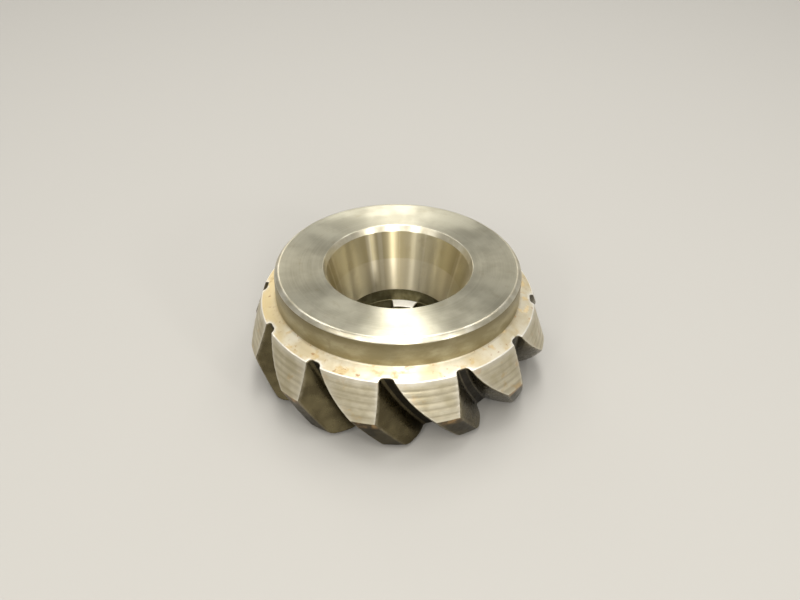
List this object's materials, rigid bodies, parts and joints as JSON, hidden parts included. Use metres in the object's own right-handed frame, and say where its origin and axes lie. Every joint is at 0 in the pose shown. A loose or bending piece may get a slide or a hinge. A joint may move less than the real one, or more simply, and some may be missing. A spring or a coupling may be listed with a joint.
{
  "type": "spiral bevel pinion",
  "caption": "Steel spiral bevel pinion with a plain round hub, a turned heel band, and a tapered bore that ends in a short internal spline.",
  "frame": {"origin": "on the gear axis, in the plane of the lowest face, which the shaft nut bears on", "axes": "+Z along the gear axis, out of the plain hub; a tooth space at its heel end lies 266 degrees round from +X"},
  "size_m": [0.0624, 0.0624, 0.024],
  "materials": {
    "steel": "turned and ground steel, satin, lightly oiled"
  },
  "bodies": {
    "root": {"pinion_gear": "steel"}
  },
  "joints": []
}
